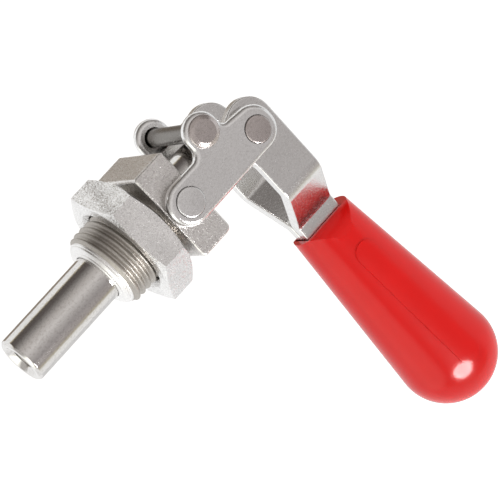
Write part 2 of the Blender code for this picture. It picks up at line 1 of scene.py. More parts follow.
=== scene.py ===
"""Looks for the straight-line toggle clamp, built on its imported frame.

Everything is in metres in the frame of the model: +X along the plunger from tip to linkage, +Z up,
the left side at -Y. The finer pieces repeat the sizes of the solids that they stand for.
"""

import math

import bmesh
import bpy
from mathutils import Matrix, Vector


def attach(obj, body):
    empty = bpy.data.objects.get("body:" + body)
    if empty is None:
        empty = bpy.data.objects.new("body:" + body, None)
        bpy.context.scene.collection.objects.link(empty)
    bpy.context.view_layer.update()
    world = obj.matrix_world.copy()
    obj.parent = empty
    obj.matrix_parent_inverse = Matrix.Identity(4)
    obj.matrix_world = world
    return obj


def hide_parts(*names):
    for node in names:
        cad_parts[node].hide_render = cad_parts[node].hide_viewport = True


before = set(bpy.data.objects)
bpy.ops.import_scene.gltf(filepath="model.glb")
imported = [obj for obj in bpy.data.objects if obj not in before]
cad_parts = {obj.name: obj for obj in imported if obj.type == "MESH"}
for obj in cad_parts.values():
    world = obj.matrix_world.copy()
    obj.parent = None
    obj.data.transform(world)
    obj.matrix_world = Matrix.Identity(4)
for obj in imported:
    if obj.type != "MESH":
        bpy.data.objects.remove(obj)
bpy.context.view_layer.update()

MM = 0.001
LEFT, RIGHT = -1, 1
SIDE_NAMES = {LEFT: "left", RIGHT: "right"}

# Sizes shared with the solids
GAP = 0.3 * MM
PLUNGER_RADIUS = 4.7625 * MM
PLUNGER_TIP = -34.4 * MM
TIP_HOLE_DEPTH = 11.0 * MM
DRILL_POINT = math.radians(59)
TAIL_LENGTH = 4.0 * MM
TAIL_CHAMFER = 0.9 * MM
BORE_RADIUS = 5.0625 * MM
BLOCK_LENGTH = 7.3 * MM
BLOCK_SIDE = 9.7625 * MM
BLOCK_HEIGHT = 18.8 * MM
THREAD_RADIUS = 7.9375 * MM
THREAD_ROOT = 7.0875 * MM
THREAD_PITCH = 1.411 * MM
NUT_FRONT = -7.6 * MM
NUT_BACK = -1.3 * MM
NUT_FLAT = 11.0975 * MM
NUT_TURN = math.radians(-9)
NUT_FACE_INSET = 0.3 * MM
NUT_FRONT_CHAMFER = math.radians(16)
NUT_BACK_CHAMFER = math.radians(27)
NUT_SINK = 0.8 * MM
BODY_PIVOT = Vector((4.1, 0, 0)) * MM
HANDLE_PIVOT = Vector((22.2, 0, -0.1)) * MM
CROSS_PIN = Vector((14.2006, 0, 0)) * MM
STOP_PIN = Vector((14.5006, 0, 6.9125)) * MM
LINK_INNER = 10.0625 * MM
LINK_OUTER = 12.3625 * MM
LINK_BODY_LOBE = 4.25 * MM
LINK_HANDLE_LOBE = 4.0 * MM
LINK_HANDLE_TOP = 4.65 * MM
LINK_STOP_LOBE = 3.6 * MM
LINK_TOP_SLOPE = math.radians(6.5)
LINK_NECK_FILLET = 1.8 * MM
LINK_VALLEY_FILLET = 1.2 * MM
BODY_RIVET_RADIUS = 2.7 * MM
HANDLE_RIVET_RADIUS = 2.5 * MM
RIVET_PROUD = 0.35 * MM
RIVET_CHAMFER = 0.25 * MM
STOP_PIN_RADIUS = 1.7 * MM
STOP_HEAD_RADIUS = 2.95 * MM
STOP_HEAD_HEIGHT = 0.75 * MM
STOP_HEAD_RIM = 0.2 * MM
CROSS_PIN_RADIUS = 1.6 * MM
BUSH_RADIUS = 3.0 * MM
EAR_OUTER = 9.7625 * MM
EAR_INNER = 7.4625 * MM
EAR_RADIUS = 4.6 * MM
EAR_RIGHT_EDGE = 5.5 * MM
EAR_TOP = 5.7 * MM
EAR_SLOPE = math.radians(22)
NECK_FROM_PIVOT = 4.2 * MM
NECK_FILLET = 1.2 * MM
ARM_EYE_RADIUS = 3.2 * MM
ARM_FILLET = 3.0 * MM
HEEL_LENGTH = 5.6 * MM
HEEL_CORNER = 0.8 * MM
HEEL_ROUNDING = 2.2 * MM
PLATE_THICKNESS = 2.3 * MM
BEND_ANGLE = math.radians(44)
UPPER_BEND_RADIUS = 2.9 * MM
LOWER_BEND_RADIUS = 1.8 * MM
SHANK_OUTER = 2.45 * MM
SHANK_RIGHT = 5.3 * MM
SHANK_LEFT = -3.7 * MM
SHANK_END = -48.1 * MM
SHANK_END_ROUNDING = 3.0 * MM
SHANK_SHOWN = 2.2 * MM
GRIP_TOP = -23.5 * MM
MOUTH = Vector((23.45, 0, -23.6)) * MM
SLOT_MIDDLE = 23.0 * MM
SLOT_HALF_WIDTH = 4.8 * MM
SLOT_HALF_DEPTH = 2.75 * MM
SLOT_BOTTOM = -48.5 * MM
GRIP_LEAN = math.radians(1.2)
GRIP_TOP_RADIUS = 6.33 * MM
GRIP_END_RADIUS = 9.6 * MM
GRIP_BALL = 35.1 * MM
GRIP_TAPER = math.asin((GRIP_END_RADIUS - GRIP_TOP_RADIUS) / GRIP_BALL)
SHOULDER_RADIUS = 5.0 * MM
LIP = 3.35 * MM
PAD_HALF_WIDTH = 2.4 * MM
PAD_TOP = -6.2 * MM
PAD_BOTTOM = -36.9 * MM
PAD_RAISE = 0.25 * MM

# Sizes of the finer shapes
BLOCK_CORNER = 0.7 * MM
BLOCK_LOW_CORNER = 1.2 * MM
BLOCK_ROLL = 0.45 * MM
BORE_SINK = 0.3 * MM
THREAD_SHOWN_DEPTH = 0.6 * MM
THREAD_CREST_SHARE = 0.16
THREAD_FLANK_SHARE = 0.7
THREAD_START = -12.75 * MM
THREAD_END = 1.0 * MM
THREAD_RUN_IN = 1.3
PLUNGER_LIP_GAP = 0.1 * MM
NUT_EDGE = 0.12 * MM
TIP_CHAMFER = 0.45 * MM
TIP_CHAMFER_RUN = 0.5 * MM
DRILL_RADIUS = 2.55 * MM
TIP_SINK = 0.95 * MM
TIP_HOLE_PITCH = 1.27 * MM
TIP_HOLE_THREAD = 0.6 * MM
LINK_ROLL = 1.0 * MM
LINK_HOLE_GAP = 0.1 * MM
PLATE_HOLE_GAP = 0.15 * MM
PLATE_EDGE = 0.35 * MM
PIN_EDGE = 0.1 * MM
GRIP_SPARE = 0.6 * MM
GRIP_EDGE = 0.12 * MM
PAD_EDGE = 0.22 * MM
FLAKE_SIZE = 0.14 * MM

# The nose in front of the thread: (x, height over the thread's root, rounding) in millimetres
NOSE_RINGS = [
    (-12.5, -0.1, 0),
    (-12.6, 0.15, 0.05),
    (-12.95, 0.08, 0.12),
    (-13.06, -0.22, 0.04),
    (-13.14, -0.22, 0.04),
    (-13.2, -0.02, 0.1),
    (-13.78, -0.75, 0.3),
    (-13.72, -1.5, 0.06),
    (-13.9, -1.7, 0.08),
]

# What the bright metal mirrors, as (degrees round the X axis, red, green, blue): -90 is straight
# down, 0 the camera's side, 90 straight up and 180 behind the clamp
SKY = [
    (-180, 0.9, 0.9, 0.9),
    (-135, 0.74, 0.74, 0.74),
    (-112, 0.74, 0.74, 0.74),
    (-104, 0.95, 0.95, 0.95),
    (-80, 0.9, 0.89, 0.86),
    (-72, 0.5, 0.46, 0.36),
    (-60, 0.38, 0.345, 0.33),
    (-30, 0.355, 0.33, 0.325),
    (-9, 0.48, 0.455, 0.445),
    (17, 0.69, 0.66, 0.645),
    (43, 0.52, 0.49, 0.47),
    (70, 0.22, 0.205, 0.195),
    (84, 0.12, 0.105, 0.1),
    (104, 0.11, 0.095, 0.085),
    (110, 0.5, 0.43, 0.3),
    (114, 0.95, 0.95, 0.94),
    (146, 0.95, 0.95, 0.95),
    (152, 0.3, 0.25, 0.2),
    (176, 0.28, 0.235, 0.19),
    (180, 0.9, 0.9, 0.9),
]

# Where the lamps aim, and the way from there to the lamps below the camera
GRIP_MIDDLE = Vector((22, 0, -35)) * MM
FRONT_LOW = (-0.246, -0.725, -0.644)

# How far cutters run past what they cut, and the least spacing of points on a closed outline
REACH = 20 * MM
LEAST_EDGE = 0.03 * MM

# Where the camera stands, with its right, down and away directions
CAMERA_RIGHT = Vector((0.637, -0.404, -0.657))
CAMERA_DOWN = Vector((-0.713, 0.016, -0.701))
CAMERA_AWAY = Vector((0.293, 0.915, -0.278))
CAMERA_PLACE = (17.77 * CAMERA_RIGHT + 5.36 * CAMERA_DOWN - 500 * CAMERA_AWAY) * MM
CAMERA_LENS = 204.2


def new_piece(name, mesh, material, body, *nodes):
    """A shown piece that rides on a body and stands for some CAD nodes, or for none."""
    made = bpy.data.objects.new(name, mesh)
    bpy.context.scene.collection.objects.link(made)
    mesh.materials.clear()
    mesh.materials.append(material)
    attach(made, body)
    if nodes:
        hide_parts(*nodes)


def to_mesh(name, shape):
    mesh = bpy.data.meshes.new(name)
    bmesh.ops.recalc_face_normals(shape, faces=shape.faces)
    shape.to_mesh(mesh)
    shape.free()
    return mesh


def helper(name, mesh):
    """An object that only takes part in making a piece."""
    made = bpy.data.objects.new(name, mesh)
    bpy.context.scene.collection.objects.link(made)
    return made


def drop(thing):
    bpy.data.objects.remove(thing, do_unlink=True)


def with_modifiers(thing):
    """The mesh of a helper with its modifiers applied. The helper is removed."""
    bpy.context.view_layer.update()
    evaluated = thing.evaluated_get(bpy.context.evaluated_depsgraph_get())
    mesh = bpy.data.meshes.new_from_object(evaluated)
    mesh.transform(thing.matrix_world)
    drop(thing)
    return mesh


def cut(mesh, tools):
    """The mesh after (operation, tool mesh) steps."""
    target = helper("target", mesh)
    cutters = []
    for operation, tool in tools:
        cutter = helper("cutter", tool)
        cutters.append(cutter)
        step = target.modifiers.new(operation, "BOOLEAN")
        step.operation = operation
        step.object = cutter
        step.solver = "EXACT"
    made = with_modifiers(target)
    for cutter in cutters:
        drop(cutter)
    return made


def bevelled(mesh, width, segments, angle, clamp=True):
    """The mesh with a rounded bevel on the edges that turn by more than the angle in degrees."""
    target = helper("target", mesh)
    step = target.modifiers.new("bevel", "BEVEL")
    step.width = width
    step.segments = segments
    step.limit_method = "ANGLE"
    step.angle_limit = math.radians(angle)
    step.miter_outer = "MITER_ARC"
    step.use_clamp_overlap = clamp
    return with_modifiers(target)


def rolled(mesh, radius):
    """A slab with the edges of both faces rounded, its faces made whole first."""
    shape = bmesh.new()
    shape.from_mesh(mesh)
    flat = math.radians(0.5)
    bmesh.ops.dissolve_limit(shape, angle_limit=flat, verts=shape.verts, edges=shape.edges)
    return bevelled(to_mesh(mesh.name, shape), radius, 6, 50, clamp=False)


def smoothed(mesh, angle=30):
    """Smooth shading that keeps flat faces flat and true edges sharp."""
    mesh.shade_smooth()
    mesh.set_sharp_from_angle(angle=math.radians(angle))
    target = helper("target", mesh)
    step = target.modifiers.new("normals", "WEIGHTED_NORMAL")
    step.keep_sharp = True
    step.weight = 90
    return with_modifiers(target)


def eased(points, closed=False, step=18):
    """A line of (x, y, radius) corners with each corner rounded by an arc, as (x, y) points.

    Where two arcs of a closed line meet, the point that both would give is kept once.
    """
    made = []
    last = len(points) - 1
    for i, (x, y, radius) in enumerate(points):
        corner = Vector((x, y))
        if radius == 0 or (not closed and i in (0, last)):
            made.append(corner)
            continue
        before = (Vector(points[i - 1][:2]) - corner).normalized()
        after = (Vector(points[(i + 1) % len(points)][:2]) - corner).normalized()
        half = before.angle(after) / 2
        centre = corner + (before + after).normalized() * radius / math.sin(half)
        start = corner + before * radius / math.tan(half) - centre
        sweep = start.angle_signed(corner + after * radius / math.tan(half) - centre)
        steps = max(2, round(abs(math.degrees(sweep)) / step))
        for k in range(steps + 1):
            made.append(centre + Matrix.Rotation(-sweep * k / steps, 2) @ start)
    if closed:
        pairs = zip(made, [made[-1], *made])
        made = [spot for spot, before in pairs if (spot - before).length > LEAST_EDGE]
    return made


def axis_matrix(place, axis):
    """Takes local Z to the given axis at a place."""
    return Matrix.Translation(place) @ Vector(axis).to_track_quat("Z", "Y").to_matrix().to_4x4()


def revolved(name, profile, place=(0, 0, 0), axis=(0, 0, 1), segments=96):
    """A body turned from (height, radius) points, closed at the axis or onto its own start."""
    shape = bmesh.new()
    rings = []
    for height, radius in profile:
        if radius < 1e-9:
            rings.append([shape.verts.new((0, 0, height))])
            continue
        turns = [2 * math.pi * k / segments for k in range(segments)]
        spots = [(radius * math.cos(t), radius * math.sin(t), height) for t in turns]
        rings.append([shape.verts.new(spot) for spot in spots])
    pairs = list(zip(rings, rings[1:]))
    if len(rings[0]) > 1 and len(rings[-1]) > 1:
        pairs.append((rings[-1], rings[0]))
    for lower, upper in pairs:
        for k in range(segments):
            n = (k + 1) % segments
            if len(lower) == 1:
                shape.faces.new((lower[0], upper[k], upper[n]))
            elif len(upper) == 1:
                shape.faces.new((lower[k], lower[n], upper[0]))
            else:
                shape.faces.new((lower[k], lower[n], upper[n], upper[k]))
    mesh = to_mesh(name, shape)
    mesh.transform(axis_matrix(place, axis))
    return mesh


def circle(x, y, radius, segments=64):
    turns = [2 * math.pi * k / segments for k in range(segments)]
    return [Vector((x + radius * math.cos(t), y + radius * math.sin(t))) for t in turns]


def slab(name, outline, holes, low, high, view="side"):
    """An outline in side view (x, z) or end view (y, z), filled and extruded from low to high."""
    curve = bpy.data.curves.new(name, "CURVE")
    curve.dimensions = "2D"
    curve.fill_mode = "BOTH"
    curve.extrude = (high - low) / 2
    for loop in [outline, *holes]:
        spline = curve.splines.new("POLY")
        spline.points.add(len(loop) - 1)
        for point, spot in zip(spline.points, loop):
            point.co = (spot[0], spot[1], 0, 1)
        spline.use_cyclic_u = True
    mesh = with_modifiers(helper(name, curve))
    shape = bmesh.new()
    shape.from_mesh(mesh)
    bmesh.ops.remove_doubles(shape, verts=shape.verts, dist=0.001 * MM)
    mesh = to_mesh(name, shape)
    middle = (high + low) / 2
    if view == "side":
        mesh.transform(Matrix.Translation((0, middle, 0)) @ Matrix.Rotation(math.pi / 2, 4, "X"))
    else:
        turn = Matrix.Rotation(math.pi / 2, 4, "Z") @ Matrix.Rotation(math.pi / 2, 4, "X")
        mesh.transform(Matrix.Translation((middle, 0, 0)) @ turn)
    return mesh


def block_box(name, low, high):
    shape = bmesh.new()
    bmesh.ops.create_cube(shape, size=1)
    low, high = Vector(low), Vector(high)
    bmesh.ops.scale(shape, verts=shape.verts, vec=high - low)
    bmesh.ops.translate(shape, verts=shape.verts, vec=(high + low) / 2)
    return to_mesh(name, shape)


class Nodes:
    """Short calls for building a material's node tree."""

    def __init__(self, tree):
        self.tree = tree
        self.place = tree.nodes.new("ShaderNodeTexCoord").outputs["Object"]

    def new(self, kind, inputs=(), **settings):
        node = self.tree.nodes.new(kind)
        for key, value in settings.items():
            setattr(node, key, value)
        for socket, value in dict(inputs).items():
            if isinstance(value, bpy.types.NodeSocket):
                self.tree.links.new(value, node.inputs[socket])
            else:
                node.inputs[socket].default_value = value
        return node

    def noise(self, size, detail=2.0, roughness=0.5):
        """Noise with features about this size in metres."""
        inputs = {"Vector": self.place, "Scale": 1 / size, "Detail": detail, "Roughness": roughness}
        return self.new("ShaderNodeTexNoise", inputs).outputs["Fac"]

    def spread(self, value, low, high, start=0.3, end=0.7):
        """Takes the range from start to end of a value to the range from low to high."""
        inputs = {"Value": value, "From Min": start, "From Max": end, "To Min": low, "To Max": high}
        return self.new("ShaderNodeMapRange", inputs).outputs["Result"]

    def mix(self, factor, first, second):
        """A mix of two colours, each given as a socket or as (red, green, blue)."""
        node = self.new("ShaderNodeMix", {"Factor": factor}, data_type="RGBA")
        for index, value in ((6, first), (7, second)):
            if isinstance(value, bpy.types.NodeSocket):
                self.tree.links.new(value, node.inputs[index])
            else:
                node.inputs[index].default_value = (*value, 1)
        return node.outputs[2]

    def bump(self, height, distance, before=None):
        inputs = {"Height": height, "Distance": distance, "Strength": 1.0}
        if before:
            inputs["Normal"] = before
        return self.new("ShaderNodeBump", inputs).outputs["Normal"]

    def vector(self, operation, inputs):
        return self.new("ShaderNodeVectorMath", inputs, operation=operation).outputs[0]

    def flakes(self, size, tilt):
        """The surface normal tilted at random in each cell of this size, for a coarse plating."""
        inputs = {"Vector": self.place, "Scale": 1 / size}
        cells = self.new("ShaderNodeTexVoronoi", inputs).outputs["Color"]
        lean = self.vector("SUBTRACT", {0: cells, 1: (0.5, 0.5, 0.5)})
        lean = self.vector("SCALE", {0: lean, "Scale": tilt})
        normal = self.new("ShaderNodeNewGeometry").outputs["Normal"]
        return self.vector("NORMALIZE", {0: self.vector("ADD", {0: normal, 1: lean})})


def new_material(slot, metallic):
    made = bpy.data.materials.new(slot + "_look")
    made["slot"] = slot
    made.use_nodes = True
    shader = made.node_tree.nodes["Principled BSDF"]
    shader.inputs["Metallic"].default_value = metallic
    return made, shader, Nodes(made.node_tree)


def metal(slot, light, dark, rough, grain=0.3 * MM, height=0.03 * MM, pits=0.6, tilt=0.0):
    """Plated steel with a fine grain, tiny dark pits and an uneven sheen, and flakes if they tilt."""
    made, shader, nodes = new_material(slot, 1.0)
    tone = nodes.noise(5 * MM, 1.0)
    specks = nodes.noise(1.3 * grain, 2.0)
    fine = nodes.noise(grain, 2.0, roughness=0.6)
    sheen = nodes.noise(0.4 * MM, 2.0)
    colour = nodes.mix(nodes.spread(tone, 0, 0.18), light, dark)
    colour = nodes.mix(nodes.spread(specks, 0, pits, 0.5, 0.7), colour, dark)
    link = made.node_tree.links.new
    link(colour, shader.inputs["Base Color"])
    link(nodes.spread(sheen, *rough), shader.inputs["Roughness"])
    flakes = nodes.flakes(FLAKE_SIZE, tilt) if tilt else None
    link(nodes.bump(fine, height, flakes), shader.inputs["Normal"])
    return made


def plastic(slot):
    """Glossy moulded plastic with a slightly uneven skin and a softly varied red."""
    made, shader, nodes = new_material(slot, 0.0)
    clouds = nodes.noise(6 * MM, 3.0)
    fine = nodes.noise(0.5 * MM, 2.0)
    specks = nodes.noise(0.22 * MM, 1.0)
    light, dark = (0.51, 0.003, 0.002), (0.485, 0.0025, 0.0015)
    colour = nodes.mix(nodes.spread(clouds, 0, 1), light, dark)
    normal = nodes.bump(clouds, 0.05 * MM)
    normal = nodes.bump(fine, 0.006 * MM, normal)
    link = made.node_tree.links.new
    link(colour, shader.inputs["Base Color"])
    link(nodes.spread(specks, 0.17, 0.22), shader.inputs["Roughness"])
    link(normal, shader.inputs["Normal"])
    shader.inputs["IOR"].default_value = 1.39
    return made


def make_block(steel):
    """The square block, bored through. Its barrel is made apart."""
    half = BLOCK_HEIGHT / 2
    outline = eased([
        (0, -half, BLOCK_CORNER),
        (BLOCK_LENGTH, -half, BLOCK_LOW_CORNER),
        (BLOCK_LENGTH, half, BLOCK_CORNER),
        (0, half, BLOCK_CORNER),
    ], closed=True, step=12)
    blank = rolled(slab("block", outline, [], -BLOCK_SIDE, BLOCK_SIDE), BLOCK_ROLL)
    sink = BORE_RADIUS + BORE_SINK
    bore = [
        (-MM, 0),
        (-MM, BORE_RADIUS),
        (BLOCK_LENGTH - BORE_SINK, BORE_RADIUS),
        (BLOCK_LENGTH, sink),
        (BLOCK_LENGTH + MM, sink),
        (BLOCK_LENGTH + MM, 0),
    ]
    mesh = cut(blank, [("DIFFERENCE", revolved("bore", bore, axis=(1, 0, 0)))])
    new_piece("block", smoothed(mesh), steel, "block", "body")


def thread_radius(phase):
    """Radius over one pitch, with the crest at phase 0 and flanks that ease into crest and root."""
    away = min(phase % 1, 1 - phase % 1) * 2
    share = min(1, max(0, (away - THREAD_CREST_SHARE) / THREAD_FLANK_SHARE))
    share = 0.6 * share + 0.4 * share * share * (3 - 2 * share)
    return THREAD_RADIUS - THREAD_SHOWN_DEPTH * share


def make_barrel(steel, bright):
    """The barrel with one true helical thread, and its ringed nose with a lip round the plunger."""
    segments = 128
    rows_per_pitch = 14
    step = THREAD_PITCH / rows_per_pitch
    low = THREAD_START - THREAD_PITCH
    count = math.ceil((THREAD_END - low) / step) + 1
    shape = bmesh.new()
    rows = []
    for j in range(count):
        row = []
        for k in range(segments + 1):
            t = low + j * step
            x = t + THREAD_PITCH * k / segments
            run_in = THREAD_ROOT + max(0, x - THREAD_START) * THREAD_RUN_IN
            radius = min(thread_radius(t / THREAD_PITCH), run_in)
            x = min(max(x, THREAD_START), THREAD_END)
            angle = 2 * math.pi * k / segments
            row.append(shape.verts.new((x, radius * math.cos(angle), radius * math.sin(angle))))
        rows.append(row)
    for lower, upper in zip(rows, rows[1:]):
        for k in range(segments):
            shape.faces.new((lower[k], lower[k + 1], upper[k + 1], upper[k]))
    bmesh.ops.remove_doubles(shape, verts=shape.verts, dist=0.002 * MM)
    bmesh.ops.dissolve_degenerate(shape, edges=shape.edges, dist=0.001 * MM)
    mesh = to_mesh("barrel_thread", shape)
    # The thread's material is the casting painted darker, as painted shade on its turns
    new_piece("barrel_thread", smoothed(mesh, 70), steel, "block")
    rings = [(x * MM, THREAD_ROOT + over * MM, rounding * MM) for x, over, rounding in NOSE_RINGS]
    front = rings[-1][0]
    lip = PLUNGER_RADIUS + PLUNGER_LIP_GAP
    nose = eased([
        (THREAD_END, BORE_RADIUS, 0),
        (THREAD_END, rings[0][1], 0),
        *rings,
        (front, lip, 0.08 * MM),
        (front + 0.7 * MM, lip, 0),
        (front + 0.9 * MM, BORE_RADIUS, 0),
    ])
    mesh = revolved("barrel_nose", nose, axis=(1, 0, 0), segments=segments)
    # The nose's material (bright) is the same casting painted lighter, a painted highlight for its
    # reflected band
    new_piece("barrel_nose", smoothed(mesh, 40), bright, "block")


def make_nut(steel):
    """Hexagon nut, chamfered on both faces, with a countersunk bore."""
    corner = NUT_FLAT / math.cos(math.radians(30))
    turns = [math.radians(60 * k + 30) + NUT_TURN for k in range(6)]
    hexagon = [Vector((corner * math.cos(t), corner * math.sin(t))) for t in turns]
    blank = slab("nut", hexagon, [], NUT_FRONT, NUT_BACK, "end")
    face = NUT_FLAT - NUT_FACE_INSET
    wide = corner + GAP
    chamfers = [
        (NUT_FRONT, 0),
        (NUT_FRONT, face),
        (NUT_FRONT + (wide - face) * math.tan(NUT_FRONT_CHAMFER), wide),
        (NUT_BACK - (wide - face) * math.tan(NUT_BACK_CHAMFER), wide),
        (NUT_BACK, face),
        (NUT_BACK, 0),
    ]
    bore = THREAD_RADIUS + GAP
    hole = [
        (NUT_FRONT - MM, 0),
        (NUT_FRONT - MM, bore + NUT_SINK),
        (NUT_FRONT, bore + NUT_SINK),
        (NUT_FRONT + NUT_SINK, bore),
        (NUT_BACK - NUT_SINK, bore),
        (NUT_BACK, bore + NUT_SINK),
        (NUT_BACK + MM, bore + NUT_SINK),
        (NUT_BACK + MM, 0),
    ]
    mesh = cut(blank, [
        ("INTERSECT", revolved("chamfers", chamfers, axis=(1, 0, 0), segments=180)),
        ("DIFFERENCE", revolved("hole", hole, axis=(1, 0, 0), segments=128)),
    ])
    mesh = bevelled(mesh, NUT_EDGE, 2, 12)
    new_piece("nut", smoothed(mesh, 40), steel, "nut", "jam_nut")


def inner_thread(start, end, radius):
    """Rings that catch the light like the thread in the tip's hole, as profile points."""
    points = [(start, radius, 0.05 * MM)]
    for k in range(int((end - start) / TIP_HOLE_PITCH) - 1):
        low = start + (k + 0.2) * TIP_HOLE_PITCH
        points.append((low, radius, 0))
        points.append((low + 0.45 * TIP_HOLE_PITCH, radius + TIP_HOLE_THREAD, 0.05 * MM))
        points.append((low + 0.9 * TIP_HOLE_PITCH, radius, 0))
    return points


def pin_hole(spot, radius, segments=64):
    """A cutter through both sides of the clamp."""
    profile = [(-REACH, 0), (-REACH, radius), (REACH, radius), (REACH, 0)]
    return ("DIFFERENCE", revolved("hole", profile, spot, (0, 1, 0), segments))


def make_plunger(steel):
    """The rod, with a small tip chamfer, a threaded hole in the tip and a cross hole in the tail."""
    tail = CROSS_PIN.x + TAIL_LENGTH
    end = PLUNGER_TIP + TIP_HOLE_DEPTH
    profile = eased([
        (tail, 0, 0),
        (tail, PLUNGER_RADIUS - TAIL_CHAMFER, 0.15 * MM),
        (tail - TAIL_CHAMFER, PLUNGER_RADIUS, 0.15 * MM),
        (PLUNGER_TIP + TIP_CHAMFER_RUN, PLUNGER_RADIUS, 0.2 * MM),
        (PLUNGER_TIP, PLUNGER_RADIUS - TIP_CHAMFER, 0.2 * MM),
        (PLUNGER_TIP, DRILL_RADIUS + TIP_SINK, 0.1 * MM),
        *inner_thread(PLUNGER_TIP + TIP_SINK, end, DRILL_RADIUS),
        (end, DRILL_RADIUS, 0),
        (end + DRILL_RADIUS / math.tan(DRILL_POINT), 0, 0),
    ])
    mesh = revolved("plunger", profile, axis=(1, 0, 0), segments=128)
    mesh = cut(mesh, [pin_hole(CROSS_PIN, CROSS_PIN_RADIUS + GAP, 48)])
    new_piece("rod", smoothed(mesh, 35), steel, "rod", "plunger")


def link_outline():
    """Three lobes: a straight lower edge, a neck and a valley beside the stop lobe."""
    handle, stop, body = HANDLE_PIVOT, STOP_PIN, BODY_PIVOT
    slope = math.tan(LINK_TOP_SLOPE)
    front, right = body.x - LINK_BODY_LOBE, handle.x + LINK_HANDLE_LOBE
    neck, valley = stop.x - LINK_STOP_LOBE, stop.x + LINK_STOP_LOBE
    handle_top = handle.z + LINK_HANDLE_TOP
    stop_top = stop.z + LINK_STOP_LOBE
    return eased([
        (front, body.z - LINK_BODY_LOBE, LINK_BODY_LOBE),
        (right, handle.z - LINK_HANDLE_LOBE, LINK_HANDLE_LOBE),
        (right, handle_top - (right - handle.x) * slope, LINK_HANDLE_LOBE),
        (valley, handle_top + (handle.x - valley) * slope, LINK_VALLEY_FILLET),
        (valley, stop_top, LINK_STOP_LOBE),
        (neck, stop_top, LINK_STOP_LOBE),
        (neck, body.z + LINK_BODY_LOBE, LINK_NECK_FILLET),
        (front, body.z + LINK_BODY_LOBE, LINK_BODY_LOBE),
    ], closed=True, step=5)


def make_link(side, steel):
    """Stamped link plate with rolled edges and three pin holes."""
    low, high = sorted((side * LINK_INNER, side * LINK_OUTER))
    word = SIDE_NAMES[side]
    mesh = rolled(slab(f"link_{word}", link_outline(), [], low, high), LINK_ROLL)
    mesh = cut(mesh, [
        pin_hole(BODY_PIVOT, BODY_RIVET_RADIUS + LINK_HOLE_GAP),
        pin_hole(HANDLE_PIVOT, HANDLE_RIVET_RADIUS + LINK_HOLE_GAP),
        pin_hole(STOP_PIN, STOP_PIN_RADIUS + GAP),
    ])
    new_piece(f"link_plate_{word}", smoothed(mesh), steel, "links", f"link_{word}")


def make_round(name, nodes, body, profile, place, side, steel):
    """A turned pin or rivet whose outer end points to its side."""
    mesh = revolved(name, eased(profile), place, (0, side, 0), 64)
    new_piece(name, smoothed(mesh, 40), steel, body, *nodes)


def make_rivets(steel, worn):
    """Rivets, riveted pin ends and bushes, one of each on either side."""
    face = LINK_OUTER + RIVET_PROUD
    seat = BLOCK_SIDE + GAP
    body_rivet = [
        (face, 0, 0),
        (face, BODY_RIVET_RADIUS, RIVET_CHAMFER),
        (seat, BODY_RIVET_RADIUS, 0),
        (seat, 0, 0),
    ]
    handle_rivet = [
        (face, 0, 0),
        (face, HANDLE_RIVET_RADIUS, RIVET_CHAMFER),
        (EAR_INNER, HANDLE_RIVET_RADIUS, PIN_EDGE),
        (EAR_INNER, 0, 0),
    ]
    ear_pin = [
        (EAR_OUTER, 0, 0),
        (EAR_OUTER, CROSS_PIN_RADIUS, PIN_EDGE),
        (EAR_INNER, CROSS_PIN_RADIUS, PIN_EDGE),
        (EAR_INNER, 0, 0),
    ]
    far, near = EAR_INNER - GAP, PLUNGER_RADIUS + GAP
    hole = CROSS_PIN_RADIUS + GAP
    bush = [
        (far, hole, 0),
        (far, BUSH_RADIUS, 0.15 * MM),
        (near, BUSH_RADIUS, 0.15 * MM),
        (near, hole, 0),
    ]
    rounds = [
        ("rivet_body", "body_rivet", "block", body_rivet, BODY_PIVOT, steel),
        ("rivet_handle", "handle_rivet", "lever", handle_rivet, HANDLE_PIVOT, worn),
        ("pin_end", "ear_pin", "lever", ear_pin, CROSS_PIN, steel),
        ("bush", "pin_bush", "rod", bush, CROSS_PIN, steel),
    ]
    for side in (LEFT, RIGHT):
        word = SIDE_NAMES[side]
        for name, node, body, profile, place, look in rounds:
            make_round(f"{name}_{word}", [f"{node}_{word}"], body, profile, place, side, look)


def make_pins(steel, worn, shaft_painted_shade):
    """The cross pin, and the stop pin with its two heads and a groove beside each link; the stop
    pin's dark shaft is partly wear and partly painted shade.
    """
    end = EAR_INNER - GAP
    cross = [
        (end, 0, 0),
        (end, CROSS_PIN_RADIUS, PIN_EDGE),
        (-end, CROSS_PIN_RADIUS, PIN_EDGE),
        (-end, 0, 0),
    ]
    make_round("pin_cross", ["plunger_pin"], "rod", cross, CROSS_PIN, RIGHT, steel)
    under = LINK_OUTER + GAP
    rim, top = under + STOP_HEAD_RIM, under + STOP_HEAD_HEIGHT
    head = [
        (top, 0, 0),
        (top, 2.1 * MM, 0.08 * MM),
        (rim + 0.15 * MM, STOP_HEAD_RADIUS - 0.15 * MM, 0.15 * MM),
        (rim, STOP_HEAD_RADIUS, 0.05 * MM),
        (under, STOP_HEAD_RADIUS - 0.05 * MM, 0.05 * MM),
        (under, 0, 0),
    ]
    for side in (LEFT, RIGHT):
        make_round(f"pin_head_{SIDE_NAMES[side]}", [], "links", head, STOP_PIN, side, worn)
    groove = STOP_PIN_RADIUS - 0.1 * MM
    half = [
        (rim, 0, 0),
        (rim, STOP_PIN_RADIUS, 0),
        (LINK_INNER, STOP_PIN_RADIUS, 0),
        (LINK_INNER - 0.15 * MM, groove, 0),
        (LINK_INNER - 0.5 * MM, groove, 0),
        (LINK_INNER - 0.6 * MM, STOP_PIN_RADIUS, 0),
    ]
    profile = half + [(-height, radius, rounding) for height, radius, rounding in reversed(half)]
    # The shaft's darker look is partly wear and partly painted shade from the link plates round it
    make_round("pin_stop", ["stop_pin"], "links", profile, STOP_PIN, RIGHT, shaft_painted_shade)


